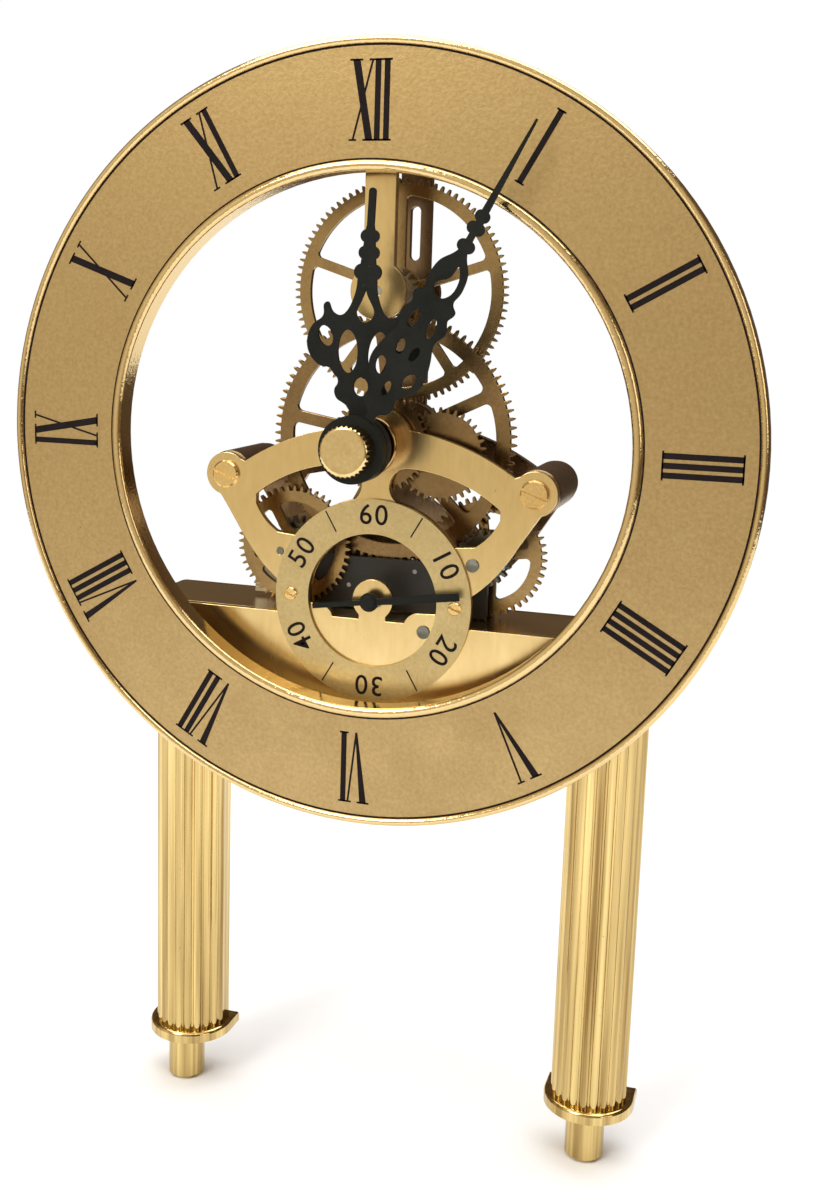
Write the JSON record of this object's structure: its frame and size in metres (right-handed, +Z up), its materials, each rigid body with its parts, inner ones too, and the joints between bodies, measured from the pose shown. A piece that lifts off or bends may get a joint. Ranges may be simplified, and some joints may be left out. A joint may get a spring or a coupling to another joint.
{
  "type": "skeleton clock",
  "caption": "brass skeleton clock with open Roman chapter ring, pierced black hands, seconds dial, exposed going train and two reeded columns on spigots",
  "frame": {"origin": "midway between the two spigots, on the underside of their collars", "axes": "+Z up, the dial faces -Y, +X to the right of someone looking at the dial"},
  "size_m": [0.15, 0.0496, 0.2253],
  "materials": {
    "polished_brass": "polished",
    "satin_brass": "satin",
    "screw_brass": "polished",
    "hand_black": "satin",
    "arbor_steel": "satin",
    "black_plastic": "matte",
    "white_plastic": "satin",
    "coil_copper": "satin",
    "contact_nickel": "satin",
    "board_green": "satin",
    "cell_wrap": "satin",
    "magnet_dark": "satin"
  },
  "bodies": {
    "frame": {"battery_cell": "cell_wrap", "bridge": "black_plastic", "centre_bush": "polished_brass", "chapter_ring": "satin_brass", "circuit_board": "board_green", "coil": "coil_copper", "column_left": "polished_brass", "column_right": "polished_brass", "column_screws": "screw_brass", "contact_negative": "contact_nickel", "contact_positive": "contact_nickel", "foot_left": "polished_brass", "foot_right": "polished_brass", "front_plate": "polished_brass", "housing": "polished_brass", "housing_cover": "polished_brass", "motion_stud": "arbor_steel", "pillar_left": "polished_brass", "pillar_right": "polished_brass", "pillar_screws": "screw_brass", "rear_plate": "polished_brass", "rear_screws": "screw_brass", "rear_strip": "polished_brass", "rear_strip_screws": "screw_brass", "ring_stud_top": "polished_brass", "ring_studs_low": "polished_brass", "seconds_dial": "satin_brass", "seconds_dial_screws": "screw_brass", "stator": "arbor_steel", "strip_screws": "screw_brass", "strip_spacer": "polished_brass", "top_strip": "polished_brass"},
    "seconds": {"seconds_hand": "hand_black", "seconds_arbor": "arbor_steel", "seconds_drive_gear": "white_plastic"},
    "minute": {"minute_hand": "hand_black", "hand_nut": "polished_brass", "centre_arbor": "arbor_steel", "centre_wheel": "polished_brass", "setting_knob": "polished_brass"},
    "hour": {"hour_hand": "hand_black", "hour_wheel": "polished_brass"},
    "motion": {"motion_wheel": "polished_brass"},
    "third": {"third_wheel": "polished_brass", "third_arbor": "arbor_steel"},
    "top": {"top_wheel": "polished_brass", "top_arbor": "arbor_steel"},
    "side_left": {"left_wheel": "polished_brass", "left_arbor": "arbor_steel"},
    "side_right": {"right_wheel": "polished_brass", "right_arbor": "arbor_steel"},
    "intermediate": {"intermediate_wheel": "white_plastic"},
    "rotor": {"rotor_magnet": "magnet_dark", "rotor_arbor": "arbor_steel"},
    "door": {"battery_door": "black_plastic"}
  },
  "joints": [
    {"name": "seconds_spin", "type": "hinge", "parent": "frame", "child": "seconds", "pos_m": [0, -0.002, 0.1083], "axis": [0, 1, 0], "continuous": true},
    {"name": "minute_spin", "type": "hinge", "parent": "frame", "child": "minute", "pos_m": [0, -0.002, 0.1398], "axis": [0, 1, 0], "continuous": true},
    {"name": "hour_spin", "type": "hinge", "parent": "frame", "child": "hour", "pos_m": [0, -0.017, 0.1398], "axis": [0, 1, 0], "continuous": true},
    {"name": "motion_spin", "type": "hinge", "parent": "frame", "child": "motion", "pos_m": [0.01182, -0.01, 0.13772], "axis": [0, 1, 0], "continuous": true},
    {"name": "third_spin", "type": "hinge", "parent": "frame", "child": "third", "pos_m": [0.006, -0.002, 0.11302], "axis": [0, 1, 0], "continuous": true},
    {"name": "top_spin", "type": "hinge", "parent": "frame", "child": "top", "pos_m": [0, -0.002, 0.1692], "axis": [0, 1, 0], "continuous": true},
    {"name": "left_spin", "type": "hinge", "parent": "frame", "child": "side_left", "pos_m": [-0.02, -0.002, 0.11675], "axis": [0, 1, 0], "continuous": true},
    {"name": "right_spin", "type": "hinge", "parent": "frame", "child": "side_right", "pos_m": [0.02, -0.002, 0.11675], "axis": [0, 1, 0], "continuous": true},
    {"name": "intermediate_spin", "type": "hinge", "parent": "frame", "child": "intermediate", "pos_m": [-0.00414, -0.002, 0.10981], "axis": [0, 1, 0], "continuous": true},
    {"name": "rotor_spin", "type": "hinge", "parent": "frame", "child": "rotor", "pos_m": [-0.00816, -0.002, 0.1091], "axis": [0, 1, 0], "continuous": true},
    {"name": "battery_door_slide", "type": "slide", "parent": "frame", "child": "door", "axis": [0, 0, -1], "range_m": [0, 0.017]}
  ],
  "couplings": [
    {"joint": "third_spin", "follows": "seconds_spin", "ratio": -0.1875},
    {"joint": "minute_spin", "follows": "seconds_spin", "ratio": 0.016667},
    {"joint": "hour_spin", "follows": "seconds_spin", "ratio": 0.0013889},
    {"joint": "motion_spin", "follows": "seconds_spin", "ratio": -0.0055556},
    {"joint": "top_spin", "follows": "seconds_spin", "ratio": -0.1},
    {"joint": "left_spin", "follows": "seconds_spin", "ratio": -0.078947},
    {"joint": "right_spin", "follows": "seconds_spin", "ratio": -0.078947},
    {"joint": "intermediate_spin", "follows": "seconds_spin", "ratio": -6},
    {"joint": "rotor_spin", "follows": "seconds_spin", "ratio": 30}
  ]
}
